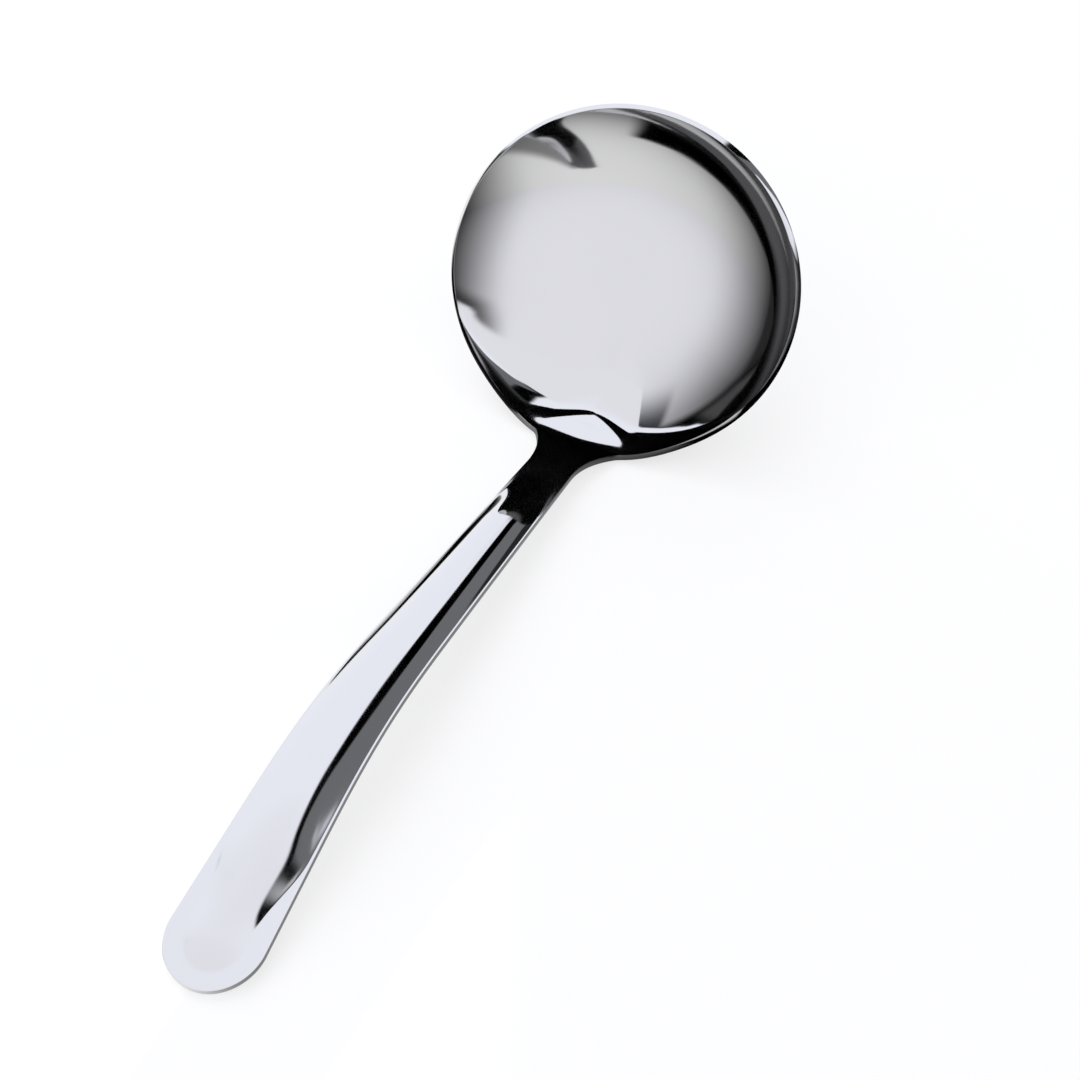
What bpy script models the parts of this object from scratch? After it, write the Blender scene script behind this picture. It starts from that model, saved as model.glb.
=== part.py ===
"""Serving ladle pressed from stainless steel sheet: a shallow oval bowl with the stub of its neck,
and a domed, hollow-backed handle butt-welded to that stub. It lies as it would on a table,
on the wall of its bowl and the tip of its handle, with +Z up and the handle along +X."""
import math

import bmesh
import bpy

# Bowl, measured outside, in metres
BOWL_LENGTH = 0.082
BOWL_WIDTH = 0.0885
BOWL_DEPTH = 0.014
BASE_RADIUS = 0.007
WALL_ANGLE = math.radians(48)
FLOOR_EASE = 1.15
SHEET = 0.0014

# Neck, where the wall turns steeper and the rim rises into the edges of the handle
NECK_SPREAD = math.radians(14.3)
NECK_RISE = math.radians(76)
THROAT_RUN = 0.0136
RIM_LIFT = 0.0018
LIFT_SPREAD = math.radians(46)
NECK_PULL = 0.0009
FLARE = 0.0073
FLARE_RUN = 0.017
WELD_AT = 0.029
WELD_GAP = 0.0003

# Handle, measured along its middle from the plane of the rim
HANDLE_LENGTH = 0.1808
FIRST_RISE = math.radians(61)
LAST_RISE = math.radians(41)
RISE_RUN = 0.0205
BEND_AT = 0.113
BEND_RUN = 0.063
NECK_WIDTH = 0.0116
TIP_WIDTH = 0.0222
WAIST = 0.0003
TIP_ROUND = 0.0121

# Pressed dome of the handle and the flat flange round it
DOME_HEIGHT = 0.0028
DOME_START = 0.019
DOME_FULL = 0.042
DOME_SINKS = 0.124
TIP_DOME = 0.1
FLANGE = 0.0009
TIP_FLANGE = 0.0043
FLANGE_OPENS = 0.146

# How finely the two sheets are laid out
RINGS = 10
COLUMNS = 17
DOME_SHARES = (0.0, 0.33, 0.64, 0.87)
STEPS = 400

HALF_LENGTH = BOWL_LENGTH / 2
HALF_WIDTH = BOWL_WIDTH / 2
ROUND_FROM = HANDLE_LENGTH - TIP_ROUND


def ease(value):
    """Goes from 0 to 1 with no slope at either end."""
    value = min(max(value, 0.0), 1.0)
    return value * value * (3 - 2 * value)


def wall_table():
    """Radius and height along the bowl's wall from the edge of its flat base to the rim."""
    radius, height = 0.0, 0.0
    table = [(radius, height)]
    for step in range(STEPS):
        slope = WALL_ANGLE * ((step + 0.5) / STEPS) ** FLOOR_EASE
        radius += math.cos(slope)
        height += math.sin(slope)
        table.append((radius, height))
    base = BASE_RADIUS / HALF_LENGTH
    return [(base + (1 - base) * r / radius, BOWL_DEPTH * (z / height - 1)) for r, z in table]


WALL = wall_table()
RIM_OUT = HALF_LENGTH * (WALL[-1][0] - WALL[-2][0])
RIM_UP = WALL[-1][1] - WALL[-2][1]
WALL_LENGTH = sum(math.hypot(HALF_LENGTH * (b[0] - a[0]), b[1] - a[1]) for a, b in zip(WALL, WALL[1:]))


def wall_at(share):
    """Radius as a share of the rim's, and height, at a share of the way up the wall."""
    place = min(max(share, 0.0), 1.0) * STEPS
    first = min(int(place), STEPS - 1)
    rest = place - first
    low, high = WALL[first], WALL[first + 1]
    return [a + (b - a) * rest for a, b in zip(low, high)]


def rim_lift(angle):
    """Height of the rim above its plane; it rises towards the neck."""
    share = (LIFT_SPREAD - max(angle, NECK_SPREAD)) / (LIFT_SPREAD - NECK_SPREAD)
    return RIM_LIFT * max(share, 0.0) ** 2


def rim_pull(angle):
    """How far the rim is drawn outwards on both sides of the neck, which flattens it there."""
    if angle < NECK_SPREAD:
        return NECK_PULL * (angle / NECK_SPREAD) ** 2
    return NECK_PULL * math.exp(-((angle - NECK_SPREAD) / (LIFT_SPREAD / 3)) ** 2)


def throat(angle, share):
    """How far the wall bulges outwards below the neck, to meet the rim there as steeply as the neck rises."""
    below = min((1 - share) * WALL_LENGTH / THROAT_RUN, 1.0)
    turn = (RIM_OUT - RIM_UP / math.tan(NECK_RISE)) / math.hypot(RIM_OUT, RIM_UP)
    nearness = ease((LIFT_SPREAD - angle) / (LIFT_SPREAD - NECK_SPREAD))
    return turn * THROAT_RUN * below * (1 - below) ** 2 * nearness


def bowl_point(angle, share, spread=1.0):
    """Underside of the bowl; spread makes up for what smoothing takes off a coarse ring."""
    radius, height = wall_at(share)
    lift = rim_lift(angle) * share ** 4
    pull = rim_pull(angle) * share ** 3 + lift / math.tan(NECK_RISE) + throat(angle, share)
    scale = spread * (radius + pull / HALF_LENGTH)
    return HALF_LENGTH * scale * math.cos(angle), HALF_WIDTH * scale * math.sin(angle), height + lift


def middle_table():
    """Place and slope along the middle of the neck and handle, from the rim's plane to the tip."""
    across, height = HALF_LENGTH, 0.0
    table = []
    step = HANDLE_LENGTH / STEPS
    for count in range(STEPS + 1):
        run = count * step
        slope = NECK_RISE + (FIRST_RISE - NECK_RISE) * ease(run / RISE_RUN)
        slope += (LAST_RISE - FIRST_RISE) * ease((run - BEND_AT) / BEND_RUN + 0.5)
        table.append((across, height, slope))
        across += step * math.cos(slope)
        height += step * math.sin(slope)
    return table


MIDDLE = middle_table()


def middle_at(run):
    place = min(max(run / HANDLE_LENGTH, 0.0), 1.0) * STEPS
    first = min(int(place), STEPS - 1)
    rest = place - first
    low, high = MIDDLE[first], MIDDLE[first + 1]
    return [a + (b - a) * rest for a, b in zip(low, high)]


def half_width(run):
    """Half the width of the sheet: the taper of the handle with the flare of the neck."""
    share = (run - FLARE_RUN) / (ROUND_FROM - FLARE_RUN)
    half = NECK_WIDTH / 2 + (TIP_WIDTH - NECK_WIDTH) / 2 * share
    half -= WAIST * 4 * max(share, 0.0) * (1 - share)
    return half + FLARE * max(1 - run / FLARE_RUN, 0.0) ** 2


def flange_width(run):
    opening = ease((run - FLANGE_OPENS) / (ROUND_FROM - 0.004 - FLANGE_OPENS))
    return FLANGE + (TIP_FLANGE - FLANGE) * opening


def dome_height(run):
    """Height of the dome's crown: it starts at the neck and sinks towards the tip."""
    sinking = 1 - (1 - TIP_DOME) * ease((run - DOME_SINKS) / (HANDLE_LENGTH - DOME_SINKS))
    return DOME_HEIGHT * ease((run - DOME_START) / (DOME_FULL - DOME_START)) * sinking


def dome_share(share):
    return max(1 - share * share, 0.0)


def handle_point(run, side, rise):
    """Point at a distance along the middle, to the side of it, and above it."""
    across, height, slope = middle_at(run)
    return across - rise * math.sin(slope), side, height + rise * math.cos(slope)


def handle_row(run):
    """One cross-section of the underside, from the middle to the edge."""
    half = half_width(run)
    foot = half - flange_width(run)
    crown = dome_height(run)
    row = [handle_point(run, share * foot, crown * dome_share(share)) for share in DOME_SHARES]
    return row + [handle_point(run, foot, 0.0), handle_point(run, half, 0.0)]


def add_quads(mesh, first, second):
    """Faces between two neighbouring lines of points; a shared point gives a triangle."""
    for a, b, c, d in zip(first, first[1:], second[1:], second):
        corners = []
        for vert in (a, b, c, d):
            if vert not in corners:
                corners.append(vert)
        mesh.faces.new(corners)


def finish_sheet(mesh, name, parts, colour):
    """Half sheet to whole sheet: mirrored, smoothed, and thickened to its upper side."""
    data = bpy.data.meshes.new(name)
    mesh.to_mesh(data)
    mesh.free()
    body = bpy.data.objects.new(name, data)
    parts.objects.link(body)
    mirror = body.modifiers.new("other half", "MIRROR")
    mirror.use_axis = (False, True, False)
    mirror.merge_threshold = 0.0001
    smooth = body.modifiers.new("pressed shape", "SUBSURF")
    smooth.levels = 1
    smooth.render_levels = 1
    smooth.boundary_smooth = "PRESERVE_CORNERS"
    sheet = body.modifiers.new("sheet", "SOLIDIFY")
    sheet.thickness = SHEET
    sheet.offset = 1.0
    sheet.use_even_offset = True
    steel = bpy.data.materials.new(name + " steel")
    steel.use_nodes = True
    shader = steel.node_tree.nodes["Principled BSDF"]
    shader.inputs["Base Color"].default_value = colour
    shader.inputs["Metallic"].default_value = 1.0
    shader.inputs["Roughness"].default_value = 0.12
    data.materials.append(steel)
    return body


def make_bowl(parts):
    mesh = bmesh.new()
    # Columns fan out of the neck, then go evenly round to the far side
    row = handle_row(0.0)
    fan = [math.asin(point[1] / row[-1][1] * math.sin(NECK_SPREAD)) for point in row]
    step = (math.pi - NECK_SPREAD) / COLUMNS
    angles = fan + [NECK_SPREAD + step * (count + 1) for count in range(COLUMNS)]
    spread = 3 / (2 + math.cos(step))
    base_middle = mesh.verts.new((0.0, 0.0, -BOWL_DEPTH))
    inner = BASE_RADIUS / HALF_LENGTH * 0.6
    rims = []
    lines = []
    for angle in angles:
        wide = spread if angle > NECK_SPREAD else 1.0
        line = [base_middle]
        line.append(mesh.verts.new((HALF_LENGTH * inner * math.cos(angle),
                                    HALF_WIDTH * inner * math.sin(angle), -BOWL_DEPTH)))
        for ring in range(RINGS + 1):
            line.append(mesh.verts.new(bowl_point(angle, ring / RINGS, wide)))
        rims.append(line[-1])
        lines.append(line)
    for first, second in zip(lines, lines[1:]):
        add_quads(mesh, first, second)
    # Rows of the neck go on from the rim to the weld
    last = rims[:len(fan)]
    rim_run = RIM_LIFT / math.sin(NECK_RISE)
    end = WELD_AT - WELD_GAP / 2
    for share in (0.12, 0.24, 0.38, 0.54, 0.74, 1.0):
        points = handle_row(rim_run + (end - rim_run) * share)
        row = [mesh.verts.new(point) for point in points]
        add_quads(mesh, row, last)
        last = row
    return finish_sheet(mesh, "bowl", parts, (0.72, 0.72, 0.73, 1.0))


def make_handle(parts):
    mesh = bmesh.new()
    start = WELD_AT + WELD_GAP / 2
    runs = [start + (ROUND_FROM - start) * count / 14 for count in range(15)]
    rows = []
    for run in runs:
        rows.append([mesh.verts.new(point) for point in handle_row(run)])
    # The lines of the last row swing round the tip about the end of the dome's crown
    half = half_width(ROUND_FROM)
    foot = half - TIP_FLANGE
    foot_reach = TIP_ROUND - TIP_FLANGE
    for count in range(1, 5):
        turn = math.pi / 2 * (1 - count / 4)
        row = [rows[-1][0]]
        for share in DOME_SHARES[1:] + (1.0,):
            along = ROUND_FROM + share * foot_reach * math.cos(turn)
            rise = dome_height(along) * dome_share(share)
            row.append(mesh.verts.new(handle_point(along, share * foot * math.sin(turn), rise)))
        end = ROUND_FROM + TIP_ROUND * math.cos(turn)
        row.append(mesh.verts.new(handle_point(end, half * math.sin(turn), 0.0)))
        rows.append(row)
    for first, second in zip(rows, rows[1:]):
        add_quads(mesh, second, first)
    return finish_sheet(mesh, "handle", parts, (0.74, 0.74, 0.75, 1.0))


def world_points(body):
    seen = body.evaluated_get(bpy.context.evaluated_depsgraph_get())
    return [seen.matrix_world @ vert.co for vert in seen.data.vertices]


def lay_down(bowl, handle, parts):
    """Tips both sheets until bowl and handle touch the table, over the middle of their footprint."""
    bowl_points, handle_points = world_points(bowl), world_points(handle)

    def lowest(points, tilt):
        return min(point.z * math.cos(tilt) - point.x * math.sin(tilt) for point in points)

    low, high = math.radians(20), math.radians(85)
    for _ in range(50):
        tilt = (low + high) / 2
        if lowest(handle_points, tilt) > lowest(bowl_points, tilt):
            low = tilt
        else:
            high = tilt
    pose = bpy.data.objects.new("lying on the table", None)
    parts.objects.link(pose)
    pose.rotation_euler = (0.0, tilt, 0.0)
    reach = [point.x * math.cos(tilt) + point.z * math.sin(tilt) for point in bowl_points + handle_points]
    pose.location = (-(min(reach) + max(reach)) / 2, 0.0, -lowest(bowl_points, tilt))
    for body in (bowl, handle):
        body.parent = pose


def main():
    for old in list(bpy.data.objects):
        bpy.data.objects.remove(old)
    parts = bpy.data.collections.new("serving ladle")
    bpy.context.scene.collection.children.link(parts)
    bowl = make_bowl(parts)
    handle = make_handle(parts)
    lay_down(bowl, handle, parts)


main()
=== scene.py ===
"""Looks of a serving ladle pressed from stainless steel sheet and polished like a mirror: the steel's skin
from bowl to handle tip, a pale table in a white studio tent, and the camera."""
import math
import bpy
import numpy as np
from mathutils import Matrix, Vector


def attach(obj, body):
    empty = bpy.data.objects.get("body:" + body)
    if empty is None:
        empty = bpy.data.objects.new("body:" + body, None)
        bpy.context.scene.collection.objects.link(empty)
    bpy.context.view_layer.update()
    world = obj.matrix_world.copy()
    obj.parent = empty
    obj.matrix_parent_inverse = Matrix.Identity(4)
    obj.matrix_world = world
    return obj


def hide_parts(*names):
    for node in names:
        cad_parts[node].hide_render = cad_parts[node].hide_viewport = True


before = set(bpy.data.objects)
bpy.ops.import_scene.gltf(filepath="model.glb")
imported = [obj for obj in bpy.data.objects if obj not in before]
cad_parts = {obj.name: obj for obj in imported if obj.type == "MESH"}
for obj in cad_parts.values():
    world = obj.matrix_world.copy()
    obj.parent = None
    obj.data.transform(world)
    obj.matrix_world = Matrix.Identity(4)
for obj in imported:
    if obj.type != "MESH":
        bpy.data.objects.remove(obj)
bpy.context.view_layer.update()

# The polished skin of the ladle: stainless steel sheet, 1.4 mm thick, pressed into bowl and handle.
# The two are butt-welded at the neck, and the weld is ground flush and polished away,
# so one unbroken skin stands for both solids.
SHEET = 0.0014
EDGE_ROUND = 0.00035

# Bowl, measured outside: its wall rises from a small flat base
HALF_LENGTH = 0.0410
HALF_WIDTH = 0.04425
BASE_RADIUS = 0.007
BOWL_DEPTH = 0.014
WALL_ANGLE = math.radians(48)
FLOOR_EASE = 1.15

# Neck: the rim lifts beside it, and the throat meets it as steeply as it rises
NECK_RISE = math.radians(76)
NECK_SPREAD = math.radians(14.3)
NECK_PULL = 0.0009
RIM_LIFT = 0.0018
LIFT_SPREAD = math.radians(46)
THROAT_SHARE = 0.36
FLARE = 0.0073
FLARE_RUN = 0.017

# Root of the neck, which stands up inside the throat
ROOT_HEIGHT = 0.0019
ROOT_DEPTH = 0.0108
ROOT_SPREAD = math.radians(24)
ROOT_STEP = 0.4
ROOT_FOOT = 0.12
ROOT_CURVE = 1.2

# Shoulders beside the root, where the wall is steeper just under the rim
SHOULDER_DEPTH = 0.0116
SHOULDER_RUN = 0.048
SHOULDER_SPREAD = math.radians(61)
SHOULDER_RISE = math.radians(61)
SHOULDER_FROM = math.radians(-2)
SHOULDER_FULL = math.radians(18)
SHOULDER_TAPER = 1.5
SHOULDER_LEAST = 0.01
KNEE = 0.0016

# Handle, measured along its middle from the plane of the rim
HANDLE_LENGTH = 0.1808
FIRST_RISE = math.radians(61)
LAST_RISE = math.radians(41)
RISE_RUN = 0.0205
BEND_AT = 0.113
BEND_RUN = 0.063
NECK_WIDTH = 0.0116
TIP_WIDTH = 0.0222
WAIST = 0.0003
TIP_ROUND = 0.0121
ROUND_FROM = HANDLE_LENGTH - TIP_ROUND

# Pressed dome of the handle, the rounded crease at its foot, and the flat flange
DOME_HEIGHT = 0.0028
DOME_START = 0.019
DOME_FULL = 0.042
DOME_SINKS = 0.124
TIP_DOME = 0.1
CREASE = 0.00045
FLANGE = 0.0009
TIP_FLANGE = 0.0043
FLANGE_OPENS = 0.146
FLANGE_FULL = ROUND_FROM - 0.004

# How the ladle lies on its bowl and the tip of its handle
LIE_TILT = math.radians(54.25855)
LIE_AT = Vector((-0.0886459, 0, 0.032769))

# How finely the sheet is laid out, with a narrow last row along the cut edge
STEPS = 2000
BASE_RINGS = 8
FINE_FROM = 0.72
LOWER_RINGS = 32
UPPER_RINGS = 52
LAST_RING = 1 / 150
BOWL_LINES = 96
DOME_POINTS = 22
CREASE_POINTS = 6
HANDLE_ROWS = 230
TIP_ROWS = 28
EDGE_ROW = 0.0003


def ease(value):
    """Goes from 0 to 1 with no slope at either end."""
    value = np.clip(value, 0, 1)
    return value * value * (3 - 2 * value)


def path_of(slopes, length):
    """Runs along a line whose slope is given at even steps; returns how far it goes across and up."""
    mid = (slopes[1:] + slopes[:-1]) / 2
    step = length / (len(slopes) - 1)
    return np.r_[0, np.cumsum(np.cos(mid))] * step, np.r_[0, np.cumsum(np.sin(mid))] * step


# Side view of the wall, from the edge of the base to the rim
share = np.linspace(0, 1, STEPS + 1)
wall_across, wall_up = path_of(WALL_ANGLE * share ** FLOOR_EASE, 1)
base_share = BASE_RADIUS / HALF_LENGTH
wall_radius = base_share + (1 - base_share) * wall_across / wall_across[-1]
wall_height = BOWL_DEPTH * (wall_up / wall_up[-1] - 1)
rim_out = HALF_LENGTH * (wall_radius[-1] - wall_radius[-2])
rim_up = wall_height[-1] - wall_height[-2]
rim_slope = math.atan2(rim_up, rim_out)
wall_run = math.hypot(rim_up, rim_out) * STEPS

# Side view of the handle's middle, from the rim to the tip
runs = share * HANDLE_LENGTH
slopes = NECK_RISE + (FIRST_RISE - NECK_RISE) * ease(runs / RISE_RUN)
slopes = slopes + (LAST_RISE - FIRST_RISE) * ease((runs - BEND_AT) / BEND_RUN + 0.5)
handle_across, middle_up = path_of(slopes, HANDLE_LENGTH)
middle_across = HALF_LENGTH + handle_across


def outward(rise):
    """How far out the wall goes for each metre down from the rim, so that it meets the rim at this rise."""
    return math.cos(rim_slope) - math.sin(rim_slope) / math.tan(rise)


def rim_pull(angle):
    """How far the rim is drawn outwards on both sides of the neck."""
    if angle > NECK_SPREAD:
        return NECK_PULL * math.exp(-((angle - NECK_SPREAD) / (LIFT_SPREAD / 3)) ** 2)
    return NECK_PULL * (angle / NECK_SPREAD) ** 2


def throat(angle, shares):
    """How far the wall bulges outwards under the neck."""
    below = np.clip((1 - shares) / THROAT_SHARE, 0, 1)
    nearness = ease((LIFT_SPREAD - angle) / (LIFT_SPREAD - NECK_SPREAD))
    return wall_run * outward(NECK_RISE) * THROAT_SHARE * below * (1 - below) ** 2 * nearness


def shoulder(angle, shares):
    """How far the wall is set outwards beside the neck, over a band that ends in a rounded knee."""
    down = (1 - shares) * wall_run
    band = SHOULDER_DEPTH * max(1 - (angle / SHOULDER_SPREAD) ** 2, SHOULDER_LEAST) ** SHOULDER_TAPER
    back = band * (np.clip(SHOULDER_RUN - down, 0, None) / (SHOULDER_RUN - band)) ** 2
    knee = min(KNEE, band / 2)
    gap = np.clip(knee - abs(down - back), 0, None) / knee
    out = np.minimum(down, back) - gap ** 2 * knee / 4
    return np.clip(out, 0, None) * outward(SHOULDER_RISE)


def root(angle, shares):
    """How far the root of the neck stands up inside the throat."""
    below = (1 - shares) * wall_run / ROOT_DEPTH
    height = ROOT_HEIGHT * ease((1 - np.hypot(below, angle / ROOT_SPREAD)) / ROOT_STEP)
    return height * np.clip((below - ROOT_FOOT) / (1 - ROOT_FOOT), 0, None) ** ROOT_CURVE


def bowl_line(angle, shares):
    """One line from the flat base up the wall to the rim, at an angle from the neck."""
    lift_share = (LIFT_SPREAD - max(angle, NECK_SPREAD)) / (LIFT_SPREAD - NECK_SPREAD)
    lift = RIM_LIFT * max(lift_share, 0) ** 2 * shares ** 4
    beside = ease((angle - SHOULDER_FROM) / (SHOULDER_FULL - SHOULDER_FROM))
    steeper = throat(angle, shares)
    steeper = steeper + (shoulder(angle, shares) - steeper) * beside
    pull = rim_pull(angle) * shares ** 3 + lift / math.tan(NECK_RISE) + steeper - root(angle, shares)
    reach = np.interp(shares, share, wall_radius) + pull / HALF_LENGTH
    height = np.interp(shares, share, wall_height) + lift
    x = HALF_LENGTH * reach * math.cos(angle)
    return np.stack((x, HALF_WIDTH * reach * math.sin(angle), height), 1)


def half_width(run):
    """Half the width of the sheet: the taper of the handle with the flare of the neck."""
    part = (run - FLARE_RUN) / (ROUND_FROM - FLARE_RUN)
    half = NECK_WIDTH / 2 + (TIP_WIDTH - NECK_WIDTH) / 2 * part - WAIST * 4 * max(part, 0) * (1 - part)
    return half + FLARE * max(1 - run / FLARE_RUN, 0) ** 2


def dome_height(run):
    """Height of the dome's crown: it starts at the neck and sinks towards the tip."""
    sink = 1 - (1 - TIP_DOME) * ease((run - DOME_SINKS) / (HANDLE_LENGTH - DOME_SINKS))
    return DOME_HEIGHT * ease((run - DOME_START) / (DOME_FULL - DOME_START)) * sink


def section(run, half):
    """Half of the handle's cross section: dome, rounded crease, and flat flange to the cut edge."""
    opening = ease((run - FLANGE_OPENS) / (FLANGE_FULL - FLANGE_OPENS))
    foot = half - FLANGE - (TIP_FLANGE - FLANGE) * opening
    crown = dome_height(run)
    dome = np.linspace(0, 1 - CREASE / foot, DOME_POINTS)
    start = crown * (1 - dome[-1] ** 2)
    fall = 4 * CREASE * crown * dome[-1] / foot
    crease = np.linspace(0, 1, CREASE_POINTS + 1)[1:]
    crease_rise = (1 - crease) ** 2 * (start + (2 * start - fall) * crease)
    flange = np.linspace(foot + CREASE, half - EDGE_ROW, 3)[1:]
    side = np.r_[dome * foot, foot + CREASE * (2 * crease - 1), flange, half]
    rise = np.r_[crown * (1 - dome ** 2), crease_rise, np.zeros(3)]
    return side, rise


def handle_line(run, side, rise):
    """Points at distances along the handle's middle, to the side of it, and above it."""
    slope = np.interp(run, runs, slopes)
    x = np.interp(run, runs, middle_across) - rise * np.sin(slope)
    return np.stack((x, side, np.interp(run, runs, middle_up) + rise * np.cos(slope)), 1)


points = []
faces = []


def add_line(line):
    """Adds a line of points and returns their numbers."""
    start = len(points)
    points.extend(map(tuple, line))
    return list(range(start, len(points)))


def add_faces(first, second):
    """Faces between two neighbouring lines; a shared point gives a triangle."""
    for index in range(len(first) - 1):
        corners = [first[index], first[index + 1], second[index + 1], second[index]]
        faces.append(list(dict.fromkeys(corners)))


# Lines of the bowl fan out of the neck, then go evenly round to the far side
rim_run = RIM_LIFT / math.sin(NECK_RISE)
rim_side, _ = section(rim_run, half_width(rim_run))
fan = np.arcsin(rim_side / rim_side[-1] * math.sin(NECK_SPREAD))
angles = np.r_[fan, np.linspace(NECK_SPREAD, math.pi, BOWL_LINES + 1)[1:]]
lower = np.linspace(0, FINE_FROM, LOWER_RINGS)[:-1]
upper = np.linspace(FINE_FROM, 1 - LAST_RING, UPPER_RINGS)
wall_shares = np.r_[lower, upper, 1]
base = np.linspace(0, BASE_RADIUS, BASE_RINGS + 1)[1:-1]
pole = add_line([(0, 0, -BOWL_DEPTH)])
bowl_lines = []
for angle in angles:
    base_side = base * math.sin(angle) * HALF_WIDTH / HALF_LENGTH
    base_line = np.stack((base * math.cos(angle), base_side, np.full(len(base), -BOWL_DEPTH)), 1)
    bowl_lines.append(pole + add_line(base_line) + add_line(bowl_line(angle, wall_shares)))
for first, second in zip(bowl_lines, bowl_lines[1:]):
    add_faces(first, second)

# Rows of the neck and handle go on from the rim, whose bow straightens out along the neck
last = [line[-1] for line in bowl_lines[:len(fan)]]
bow = np.array([points[last[0]][0] - points[index][0] for index in last])
rim_side = np.array([points[index][1] for index in last])
for run in np.linspace(rim_run, ROUND_FROM, HANDLE_ROWS + 1)[1:]:
    side, rise = section(run, half_width(run))
    line = handle_line(np.full(len(side), run), side, rise)
    line[:, 0] -= np.interp(side, rim_side, bow) * (1 - ease((run - rim_run) / RISE_RUN))
    row = add_line(line)
    add_faces(row, last)
    last = row

# The last row swings round to the tip about its own middle point
side, rise = section(ROUND_FROM, half_width(ROUND_FROM))
reach = np.interp(side, (0, side[-1] - TIP_FLANGE, side[-1]), (0, TIP_ROUND - TIP_FLANGE, TIP_ROUND))
for turn in np.linspace(math.pi / 2, 0, TIP_ROWS + 1)[1:]:
    run = ROUND_FROM + reach[1:] * math.cos(turn)
    sinking = dome_height(run) / dome_height(ROUND_FROM)
    row = last[:1] + add_line(handle_line(run, side[1:] * math.sin(turn), rise[1:] * sinking))
    add_faces(row, last)
    last = row

# Half sheet to whole sheet: mirrored, thickened to its upper side, and rounded at its cut edges
mesh = bpy.data.meshes.new("half_sheet")
lie = Matrix.Translation(LIE_AT) @ Matrix.Rotation(LIE_TILT, 4, "Y")
mesh.from_pydata([lie @ Vector(point) for point in points], [], faces)
mesh.polygons.foreach_set("use_smooth", np.ones(len(mesh.polygons), bool))
draft = bpy.data.objects.new("half_sheet", mesh)
bpy.context.scene.collection.objects.link(draft)
mirror = draft.modifiers.new("other half", "MIRROR")
mirror.use_axis = (False, True, False)
mirror.merge_threshold = 0.00001
thick = draft.modifiers.new("sheet", "SOLIDIFY")
thick.thickness = SHEET
thick.offset = 1
thick.use_even_offset = True
rounded = draft.modifiers.new("polished edges", "BEVEL")
rounded.width = EDGE_ROUND
rounded.segments = 3
rounded.limit_method = "ANGLE"
rounded.angle_limit = math.radians(60)
ready = draft.evaluated_get(bpy.context.evaluated_depsgraph_get())
skin = bpy.data.meshes.new_from_object(ready)
skin.name = "polished_ladle"
bpy.data.objects.remove(draft)
ladle = bpy.data.objects.new("polished_ladle", skin)
bpy.context.scene.collection.objects.link(ladle)


def linear(code):
    """An sRGB hex colour as linear light."""
    parts = [int(code[index:index + 2], 16) / 255 for index in (0, 2, 4)]
    return [part / 12.92 if part <= 0.04045 else ((part + 0.055) / 1.055) ** 2.4 for part in parts] + [1]


def add_node(tree, kind, *values, named=(), output=None, **settings):
    """Adds one node and returns its output. Values go to its inputs in order, and named ones by name:
    each is a plain value or another node's output."""
    node = tree.nodes.new("ShaderNode" + kind)
    for setting, choice in settings.items():
        setattr(node, setting, choice)
    sockets = [socket for socket in node.inputs if socket.enabled]
    for socket, value in [*zip(sockets, values), *((node.inputs[name], value) for name, value in named)]:
        if isinstance(value, bpy.types.NodeSocket):
            tree.links.new(value, socket)
        elif value is not None:
            socket.default_value = value
    if output:
        return node.outputs[output]
    return next(socket for socket in node.outputs if socket.enabled)


# Polished stainless steel, ground and buffed to a mirror: it shows the room in clear bright and black bands.
# A slow swell from the pressing bends them a little, and a thin haze dulls them unevenly. Buffing lines run
# round the bowl and along the handle. Real ones are under 0.1 mm; these are drawn coarser so that they show.
STEEL = "CDCDCE"
RING_LINE_MM = 0.71429
STROKE_MM = 0.90909
STROKE_LENGTH_MM = 50
LINE_DEPTH = 0.000002
STROKES_FROM = 0.036
STROKES_FULL = 0.044
SWELL_MM = 22.222
SWELL_DEPTH = 0.00007
HAZE_MM = 18.182
HAZE_FROM = 0.35
HAZE_FULL = 0.7
CLEAN_ROUGHNESS = 0.045
DULL_ROUGHNESS = 0.085
steel = bpy.data.materials.new("polished stainless steel")
steel.use_nodes = True
tree = steel.node_tree
shader = tree.nodes["Principled BSDF"]
shader.inputs["Base Color"].default_value = linear(STEEL)
shader.inputs["Metallic"].default_value = 1
own = add_node(tree, "TexCoord", output="Object")
placed = add_node(tree, "VectorMath", own, LIE_AT, operation="SUBTRACT")
upright = add_node(tree, "VectorRotate", placed, None, (0, 1, 0), -LIE_TILT, rotation_type="AXIS_ANGLE")
along, across = (add_node(tree, "SeparateXYZ", upright, output=axis) for axis in "XY")
from_middle = add_node(tree, "VectorMath", add_node(tree, "CombineXYZ", along, across), operation="LENGTH")
ring_place = add_node(tree, "CombineXYZ", from_middle)
ring_lines = add_node(tree, "TexNoise", ring_place, 1000 / RING_LINE_MM, 3.0, 0.6)
stroke_scale = (1000 / STROKE_LENGTH_MM, 1000 / STROKE_MM, 1000 / STROKE_LENGTH_MM)
stretched = add_node(tree, "VectorMath", upright, stroke_scale, operation="MULTIPLY")
strokes = add_node(tree, "TexNoise", stretched, 1.0, 3.0, 0.6)
on_handle = add_node(tree, "MapRange", along, STROKES_FROM, STROKES_FULL, interpolation_type="SMOOTHSTEP")
buffing = add_node(tree, "Mix", on_handle, ring_lines, strokes)
haze = add_node(tree, "TexNoise", own, 1000 / HAZE_MM, 4.0, 0.55)
roughness = add_node(tree, "MapRange", haze, HAZE_FROM, HAZE_FULL, CLEAN_ROUGHNESS, DULL_ROUGHNESS)
tree.links.new(roughness, shader.inputs["Roughness"])
swell = add_node(tree, "TexNoise", own, 1000 / SWELL_MM, 1.0, 0.4)
swollen = add_node(tree, "Bump", 1.0, SWELL_DEPTH, named=[("Height", swell)])
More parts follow.
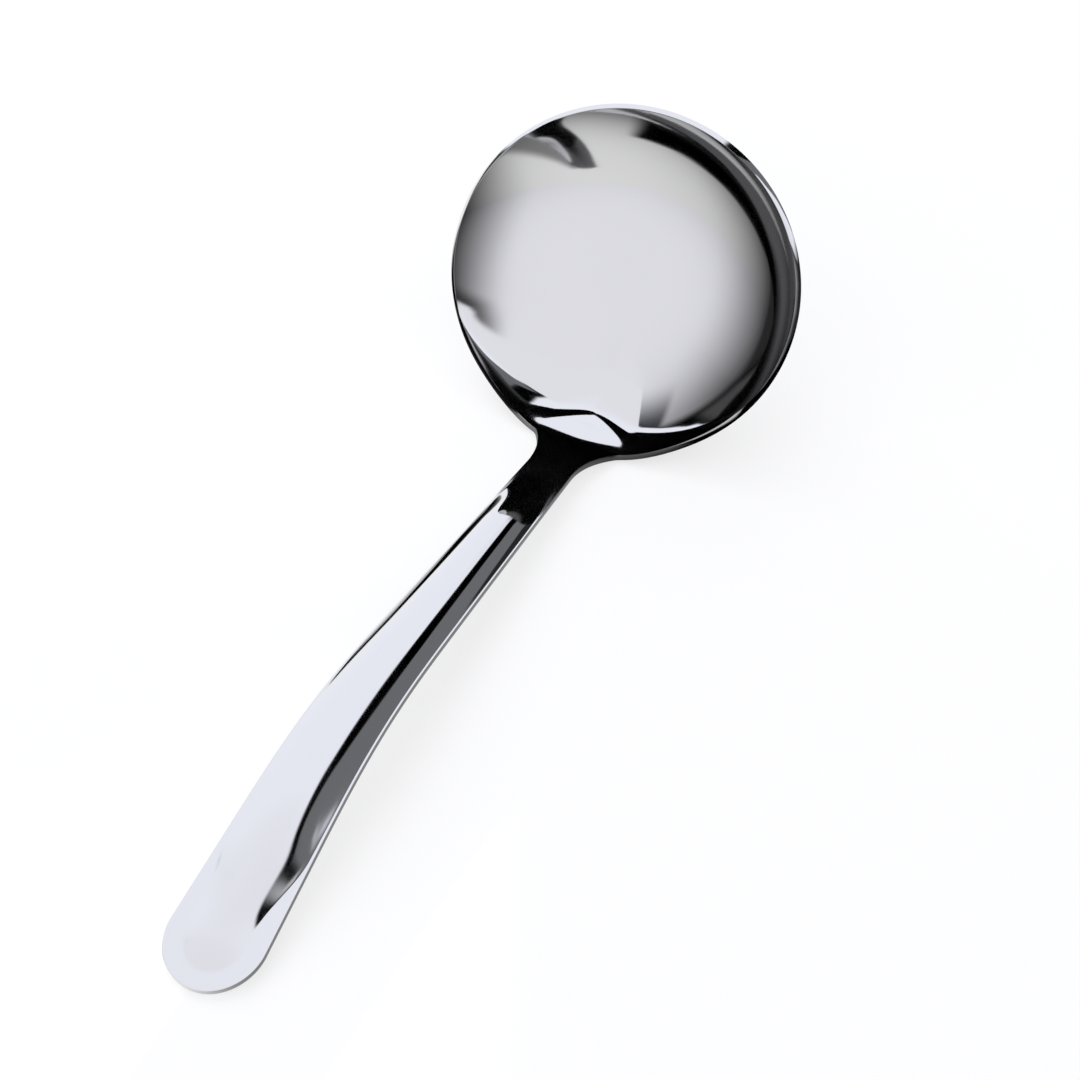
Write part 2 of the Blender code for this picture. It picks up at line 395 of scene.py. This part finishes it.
buffed = add_node(tree, "Bump", 1.0, LINE_DEPTH, named=[("Height", buffing), ("Normal", swollen)])
tree.links.new(buffed, shader.inputs["Normal"])
skin.materials.clear()
skin.materials.append(steel)
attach(ladle, "root")
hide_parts("bowl", "handle")

# The table: a plain pale top, painted matt white, which keeps the ladle's soft shadow.
# The camera sees it close to white, and the steel mirrors it as the lower part of the studio.
# Ahead is the way the handle points, which is x, and aside is y.
TABLE_REACH = 1.5
TABLE_DROP = 0.0004
TABLE_WHITE = "FAFAFA"
BOWL_MIDDLE = Vector((-0.07, 0, 0.03))
CORNER_LIGHT = 1.3
HANDLE_SHADE = 0.7
BACK_LIGHT = 0.85
PAINT_SHARE = 0.28
floor_mesh = bpy.data.meshes.new("table_top")
corners = [(x * TABLE_REACH, y * TABLE_REACH, 0) for x, y in ((-1, -1), (1, -1), (1, 1), (-1, 1))]
floor_mesh.from_pydata(corners, [], [(0, 1, 2, 3)])
floor = bpy.data.objects.new("table_top", floor_mesh)
floor.location.z = -TABLE_DROP
bpy.context.scene.collection.objects.link(floor)


def zone(tree, *limits):
    """From 0 outside to 1 inside all the limits. Each limit is a value, where it starts to count, and where
    it counts in full."""
    inside = 1.0
    for value, start, full in limits:
        step = add_node(tree, "MapRange", value, start, full, interpolation_type="SMOOTHSTEP")
        inside = add_node(tree, "Math", inside, step, operation="MULTIPLY")
    return inside


def front_light(tree, ahead, aside, above):
    """Brightness of the studio ahead of the bowl: it falls off to both sides and below."""
    level = add_node(tree, "Math", ahead, 1.05, 0.05, operation="MULTIPLY_ADD")
    raised = add_node(tree, "Math", above, 0.0, operation="MAXIMUM")
    level = add_node(tree, "Math", raised, 0.8, level, operation="MULTIPLY_ADD")
    changes = (((above, 0.7, 0.95), 0.35), ((aside, 0.4, 0.9), -0.45), ((aside, -0.55, -0.95), -0.25))
    for limit, gain in changes:
        level = add_node(tree, "Math", zone(tree, limit), gain, level, operation="MULTIPLY_ADD")
    level = add_node(tree, "Math", level, 1.17, 0.3, operation="SMOOTH_MIN")
    return add_node(tree, "Math", level, 0.03, operation="MAXIMUM")


# Matt white paint, no gloss of its own: an even pale ground, which the steel mirrors as painted light and
# shade
paint = bpy.data.materials.new("matt white paint")
paint.use_nodes = True
tree = paint.node_tree
shader = tree.nodes["Principled BSDF"]
shader.inputs["Base Color"].default_value = linear(TABLE_WHITE)
shader.inputs["Roughness"].default_value = 0.9
shader.inputs["Specular IOR Level"].default_value = 0
seen = add_node(tree, "LightPath", output="Is Camera Ray")
mirrored = add_node(tree, "LightPath", output="Is Glossy Ray")
spot = add_node(tree, "TexCoord", output="Object")
from_bowl = add_node(tree, "VectorMath", spot, -BOWL_MIDDLE, operation="ADD")
from_bowl = add_node(tree, "VectorMath", from_bowl, operation="NORMALIZE")
ahead, aside, above = (add_node(tree, "SeparateXYZ", from_bowl, output=axis) for axis in "XYZ")
x, y = (add_node(tree, "SeparateXYZ", spot, output=axis) for axis in "XY")
# In the steel's mirror the table glows with painted light: brighter ahead of the bowl, dimmer to both sides
level = front_light(tree, ahead, aside, above)
# Painted shade: the bowl's shadow on the ground, as the steel mirrors it
# Dark ground on both sides of the bowl, from the neck back: its front edge slants on the +y side,
# and it leaves out a strip along the middle
slant = add_node(tree, "Math", y, 0.0, operation="MAXIMUM")
front_edge = add_node(tree, "Math", slant, -0.35, x, operation="MULTIPLY_ADD")
front_edge = add_node(tree, "Math", zone(tree, (y, 0.0, -0.02)), -0.012, front_edge, operation="MULTIPLY_ADD")
off_middle = [zone(tree, (y, -0.0205, -0.0255)), zone(tree, (y, 0.02, 0.035))]
off_middle = add_node(tree, "Math", *off_middle, operation="MAXIMUM")
shade = add_node(tree, "Math", zone(tree, (front_edge, -0.0405, -0.0475)), off_middle, operation="MULTIPLY")
lit = add_node(tree, "Math", 1.0, shade, operation="SUBTRACT")
level = add_node(tree, "Math", level, lit, operation="MULTIPLY")
# Painted light: a bright corner of the ground behind the bowl on the -y side
corner = zone(tree, (y, -0.03, -0.09), (ahead, 0.2, 0.0), (x, -0.09, -0.115))
corner = add_node(tree, "Math", corner, CORNER_LIGHT, operation="MULTIPLY")
level = add_node(tree, "Math", level, corner, operation="MAXIMUM")
# Painted shadow of the handle: a dim strip along the ladle, a little to its +y side, which ends before the
# handle's tip
beside = add_node(tree, "Math", y, 0.017, operation="SUBTRACT")
beside = add_node(tree, "Math", beside, operation="ABSOLUTE")
close = zone(tree, (beside, 0.02, 0.004), (x, 0.16, 0.13))
lit = add_node(tree, "Math", close, -HANDLE_SHADE, 1.0, operation="MULTIPLY_ADD")
level = add_node(tree, "Math", level, lit, operation="MULTIPLY")
# Painted light: pale ground under and behind the bowl, which its back mirrors
behind = [zone(tree, (x, -0.125, -0.2)), zone(tree, (x, -0.055, -0.15), (y, -0.075, -0.05))]
behind = add_node(tree, "Math", *behind, operation="MAXIMUM")
behind = add_node(tree, "Math", behind, BACK_LIGHT, operation="MULTIPLY")
level = add_node(tree, "Math", level, behind, operation="MAXIMUM")
# For the camera the table glows white, with a share of plain paint near the ladle, which takes the shadow
level = add_node(tree, "Math", level, seen, operation="MAXIMUM")
away = add_node(tree, "VectorMath", spot, operation="LENGTH")
far = zone(tree, (away, 0.16, 0.5))
glowing = add_node(tree, "Math", far, PAINT_SHARE, 1 - PAINT_SHARE, operation="MULTIPLY_ADD")
glowing = add_node(tree, "Math", seen, glowing, operation="MULTIPLY")
glowing = add_node(tree, "Math", glowing, mirrored, operation="MAXIMUM")
glow = add_node(tree, "Emission", (1, 1, 1, 1), level)
mixed = add_node(tree, "MixShader", glowing, shader.outputs[0], glow)
tree.links.new(mixed, tree.nodes["Material Output"].inputs["Surface"])
floor_mesh.materials.append(paint)

# The studio: a white cloth tent round the table, with a bright panel behind the ladle, dim sides
# and a dark slot overhead, so that the steel has bright and black things to mirror.
# Ahead is x, aside y and above z; lean is the angle from upright towards the +y side, in degrees.
world = bpy.data.worlds.new("studio")
bpy.context.scene.world = world
world.use_nodes = True
tree = world.node_tree


def grey(level, red=1.0, blue=1.0):
    """Light of a given brightness, with its red and blue as shares of that."""
    return (level * red, level, level * blue, 1)


BLACK = grey(0.0)
WHITE = grey(1.0)
PATCH_GREY = grey(0.06, 0.95, 1.2)
STREAK_GREY = grey(0.03)
PANEL_FRONT = grey(1.19, 0.995, 1.055)
PANEL_BACK = grey(1.3, 0.98, 1.085)
CORNER_GREY = grey(0.09)
SLOT_GREY = grey(0.22, 0.98, 1.06)
place = add_node(tree, "TexCoord", output="Generated")
ahead, aside, above = (add_node(tree, "SeparateXYZ", place, output=axis) for axis in "XYZ")
lean = add_node(tree, "Math", aside, above, operation="ARCTAN2")
lean = add_node(tree, "Math", lean, operation="DEGREES")
# Cloth of the tent, a little bluish, with a black gap and a blue-grey patch on the -y side
level = front_light(tree, ahead, aside, above)
bluish = add_node(tree, "Math", level, 1.05, operation="MULTIPLY")
tent = add_node(tree, "CombineColor", level, level, bluish)
gap = zone(tree, (lean, -40.0, -46.0), (ahead, 0.06, -0.02))
tent = add_node(tree, "Mix", gap, tent, BLACK, data_type="RGBA")
patch = zone(tree, (lean, -31.0, -34.0), (lean, -48.0, -44.5), (ahead, 0.4, 0.02))
tent = add_node(tree, "Mix", patch, tent, PATCH_GREY, data_type="RGBA")
# Front edge of the panel: an arch overhead, and further back on the -y side a line that falls in two steps
from_top = add_node(tree, "Math", lean, 8.0, operation="ADD")
from_top = add_node(tree, "Math", from_top, from_top, operation="MULTIPLY")
arch = add_node(tree, "Math", from_top, -0.0001, 0.43, operation="MULTIPLY_ADD")
side_edge = add_node(tree, "Math", lean, 34.0, operation="ADD")
side_edge = add_node(tree, "Math", side_edge, 0.0031, 0.02, operation="MULTIPLY_ADD")
for start, full, step in ((-53.0, -60.0, -0.04), (-63.0, -68.0, -0.07)):
    stepped = zone(tree, (lean, start, full))
    side_edge = add_node(tree, "Math", stepped, step, side_edge, operation="MULTIPLY_ADD")
change = add_node(tree, "Math", side_edge, arch, operation="SUBTRACT")
panel_edge = add_node(tree, "Math", zone(tree, (lean, -32.0, -34.0)), change, arch, operation="MULTIPLY_ADD")
past_edge = add_node(tree, "Math", ahead, panel_edge, operation="SUBTRACT")
# Dark streak ahead of that edge on the +y side, then the panel itself
streak = zone(tree, (past_edge, 0.2, 0.01), (lean, 26.0, 50.0))
streak = add_node(tree, "Math", streak, 0.9, operation="MULTIPLY")
tent = add_node(tree, "Mix", streak, tent, STREAK_GREY, data_type="RGBA")
raised = [zone(tree, (above, 0.45, 0.65)), zone(tree, (aside, 0.1, -0.1))]
raised = add_node(tree, "Math", *raised, operation="MAXIMUM")
on_panel = add_node(tree, "Math", zone(tree, (past_edge, 0.02, -0.03)), raised, operation="MULTIPLY")
panel_depth = zone(tree, (ahead, 0.12, -0.15))
panel = add_node(tree, "Mix", panel_depth, PANEL_FRONT, PANEL_BACK, data_type="RGBA")
tent = add_node(tree, "Mix", on_panel, tent, panel, data_type="RGBA")
# Dark corner low on the -y side
corner_edge = add_node(tree, "Math", ahead, 66.0, -57.0, operation="MULTIPLY_ADD")
below_edge = add_node(tree, "Math", lean, corner_edge, operation="SUBTRACT")
low_corner = zone(tree, (below_edge, 0.0, -6.0), (ahead, -0.62, -0.52), (ahead, 0.02, -0.06),
                  (lean, -115.0, -105.0))
tent = add_node(tree, "Mix", low_corner, tent, CORNER_GREY, data_type="RGBA")
# Slot from overhead to the +y side, black along its upper edge and dim grey beyond
slot_front = add_node(tree, "Math", zone(tree, (lean, 11.0, 22.0)), -0.175, 0.055, operation="MULTIPLY_ADD")
slot_front = add_node(tree, "Math", zone(tree, (lean, 20.0, 38.0)), -0.14, slot_front,
                      operation="MULTIPLY_ADD")
past_front = add_node(tree, "Math", ahead, slot_front, operation="SUBTRACT")
black_from = add_node(tree, "Math", ahead, -8.0, 1.5, operation="MULTIPLY_ADD")
past_black = add_node(tree, "Math", lean, black_from, operation="SUBTRACT")
grey_from = add_node(tree, "Math", ahead, -27.0, 6.0, operation="MULTIPLY_ADD")
past_grey = add_node(tree, "Math", lean, grey_from, operation="SUBTRACT")
slot = zone(tree, (past_front, 0.02, -0.02), (ahead, -0.9, -0.84), (past_black, -1.0, 2.0),
            (lean, 54.0, 52.0))
dim = zone(tree, (past_grey, -0.7, 0.7), (ahead, 0.02, -0.06))
slot_light = add_node(tree, "Mix", dim, BLACK, SLOT_GREY, data_type="RGBA")
tent = add_node(tree, "Mix", slot, tent, slot_light, data_type="RGBA")
# Seen by way of two mirrorings in the steel, the tent is darker, except far out on the +y side
mirrorings = add_node(tree, "LightPath", output="Glossy Depth")
again = zone(tree, (mirrorings, 1.2, 1.8), (aside, 0.46, 0.40))
dimmed = add_node(tree, "Math", again, 0.84, operation="MULTIPLY")
tent = add_node(tree, "Mix", dimmed, tent, BLACK, data_type="RGBA")
overhead = add_node(tree, "Math", again, zone(tree, (above, 0.45, 0.7)), operation="MULTIPLY")
tent = add_node(tree, "Mix", overhead, tent, BLACK, data_type="RGBA")
# The camera sees plain white
seen = add_node(tree, "LightPath", output="Is Camera Ray")
shown = add_node(tree, "Mix", seen, tent, WHITE, data_type="RGBA")
tree.links.new(shown, tree.nodes["Background"].inputs["Color"])
tree.nodes["Background"].inputs["Strength"].default_value = 1

# The softbox: a square lamp high behind the bowl on the -y side, which throws the soft shadow.
# The steel doesn't mirror it, because the tent gives all that the steel shows.
LAMP_TURN = math.radians(-140)
LAMP_RISE = math.radians(50)
LAMP_DISTANCE = 0.9
key = bpy.data.lights.new("softbox", "AREA")
key.shape = "SQUARE"
key.size = 0.7
key.energy = 2.0
key.use_shadow = True
lamp = bpy.data.objects.new("softbox", key)
lamp_way = Vector((math.cos(LAMP_TURN) * math.cos(LAMP_RISE), math.sin(LAMP_TURN) * math.cos(LAMP_RISE),
                   math.sin(LAMP_RISE)))
lamp.location = lamp_way * LAMP_DISTANCE
lamp.rotation_euler = lamp_way.to_track_quat("Z", "Y").to_euler()
lamp.visible_glossy = False
bpy.context.scene.collection.objects.link(lamp)

# The camera: a long lens that looks down on the ladle at about 45 degrees, from past the handle's tip
# and a little to the +y side. It is rolled by a degree and a half.
CAMERA_AZIMUTH = 2.05365
CAMERA_ELEVATION = 0.78435
CAMERA_ROLL = -0.02567
CAMERA_AIM = Vector((-0.0393219, 0.0021597, -0.0086417))
CAMERA_DISTANCE = 0.7
LENS_MM = 99.18
SENSOR_MM = 36
back = Vector((math.sin(CAMERA_AZIMUTH) * math.cos(CAMERA_ELEVATION),
               -math.cos(CAMERA_AZIMUTH) * math.cos(CAMERA_ELEVATION), math.sin(CAMERA_ELEVATION)))
right = Vector((math.cos(CAMERA_AZIMUTH), math.sin(CAMERA_AZIMUTH), 0))
roll = Matrix.Rotation(CAMERA_ROLL, 3, back)
lens = bpy.data.cameras.new("camera")
lens.sensor_width = SENSOR_MM
lens.lens = LENS_MM
camera = bpy.data.objects.new("camera", lens)
axes = Matrix((roll @ right, roll @ back.cross(right), back)).transposed()
camera.matrix_world = Matrix.Translation(CAMERA_AIM + back * CAMERA_DISTANCE) @ axes.to_4x4()
bpy.context.scene.collection.objects.link(camera)
bpy.context.scene.camera = camera
bpy.context.scene.view_settings.view_transform = "Standard"
